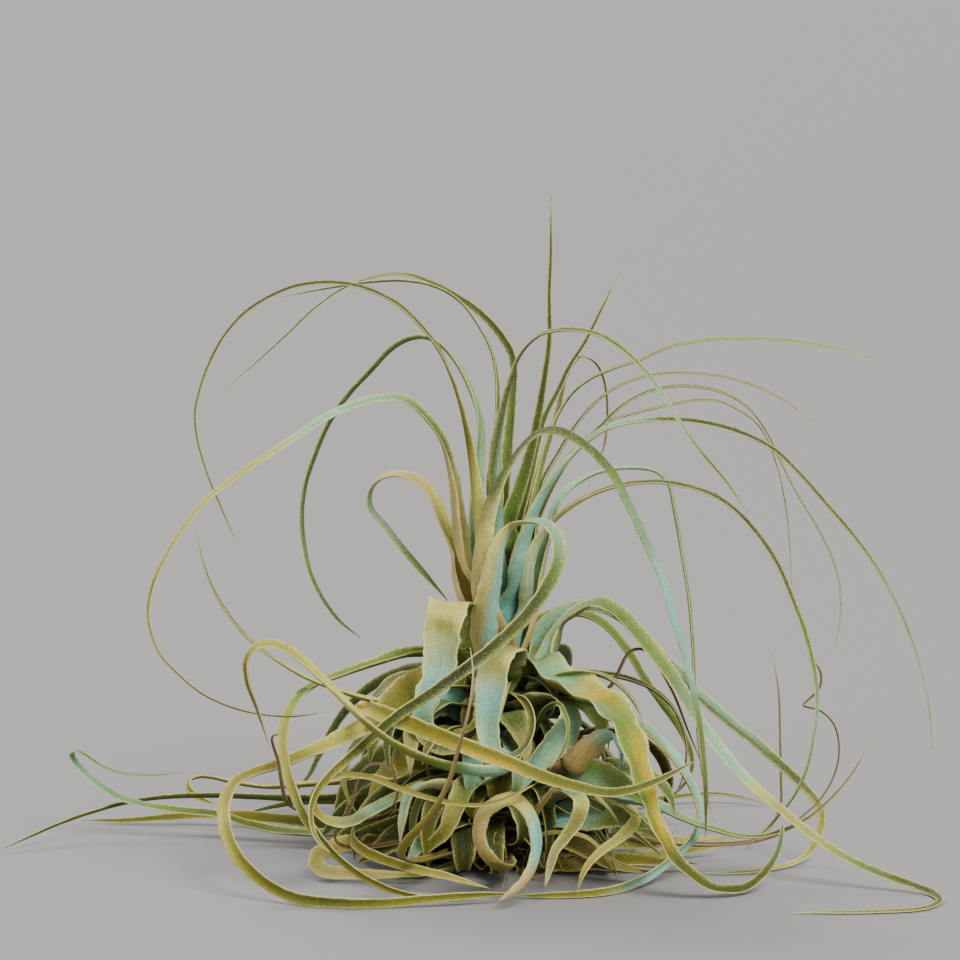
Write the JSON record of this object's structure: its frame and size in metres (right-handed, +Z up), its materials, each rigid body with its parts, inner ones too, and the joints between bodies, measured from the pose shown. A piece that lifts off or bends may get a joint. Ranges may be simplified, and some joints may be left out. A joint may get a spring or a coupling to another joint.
{
  "type": "air plant",
  "caption": "Rosette of long, narrow, channelled leaves that arch, curl and loop from a short upright stem, resting on its foot.",
  "frame": {"origin": "middle of the stem's flat foot, on the surface that the plant rests on", "axes": "+Z up along the stem, -Y towards the side that is looked at, +X to that side's right"},
  "size_m": [0.3353, 0.1654, 0.236],
  "materials": {
    "stem": "rough, dry, fibrous",
    "leaf_mint": "matte silver-green leaf, covered in fine pale scales",
    "leaf_sage": "matte grey-green leaf, covered in fine pale scales",
    "leaf_olive": "matte olive leaf with a pale scaly edge",
    "leaf_ochre": "matte yellowing leaf with a pale scaly edge",
    "leaf_dry": "dry, brittle, brown leaf"
  },
  "bodies": {
    "root": {"stem": "stem", "base_right_tongue": "leaf_ochre", "left_back_strap": "leaf_olive", "table_blade_left": "leaf_mint", "back_floor_right": "leaf_olive", "dry_left_curl": "leaf_dry", "base_front_ring": "leaf_ochre", "back_floor_left": "leaf_olive", "dry_upright": "leaf_dry", "right_table_curl": "leaf_dry", "left_hook": "leaf_olive", "base_front_tongue": "leaf_mint", "right_pale_upright": "leaf_dry", "low_left_strap": "leaf_ochre", "right_dark_strap": "leaf_mint", "left_far_sweep": "leaf_olive", "pale_finger": "leaf_mint", "right_thin_rise": "leaf_olive", "dry_left_thread": "leaf_dry", "front_low_fold": "leaf_mint", "back_middle_hoop": "leaf_ochre", "front_low_ribbon": "leaf_ochre", "right_dry_hook": "leaf_dry", "left_yellow_fold": "leaf_ochre", "mid_left_ribbon": "leaf_olive", "right_back_strap": "leaf_olive", "front_ochre_fold": "leaf_ochre", "right_brown_curl": "leaf_dry", "back_right_arch": "leaf_olive", "front_right_fold": "leaf_mint", "right_long_sweep": "leaf_mint", "front_yellow_ribbon": "leaf_ochre", "inner_right_strap": "leaf_mint", "right_low_arch": "leaf_mint", "left_broad_hoop": "leaf_ochre", "front_right_hoop": "leaf_olive", "back_left_arch": "leaf_mint", "crown_front_loop": "leaf_mint", "crown_right_far_drop": "leaf_sage", "left_riser": "leaf_ochre", "front_cascade": "leaf_ochre", "crown_right_far_inner": "leaf_sage", "front_left_fold": "leaf_mint", "crown_right_back_drop": "leaf_sage", "left_olive_hoop": "leaf_olive", "crown_front_arch": "leaf_mint", "crown_back_right_curl": "leaf_sage", "crown_left_hoop": "leaf_mint", "crown_right_bow": "leaf_mint", "crown_back_left_mid": "leaf_sage", "crown_left_tall": "leaf_sage", "crown_right_bow_back": "leaf_sage", "crown_back_left_drop": "leaf_mint", "crown_right_long": "leaf_mint", "crown_back_right_tall": "leaf_sage", "crown_left_arch": "leaf_mint", "crown_right_straight": "leaf_sage", "crown_back_left_low": "leaf_sage", "crown_right_arch": "leaf_mint", "crown_spike": "leaf_sage"}
  },
  "joints": []
}
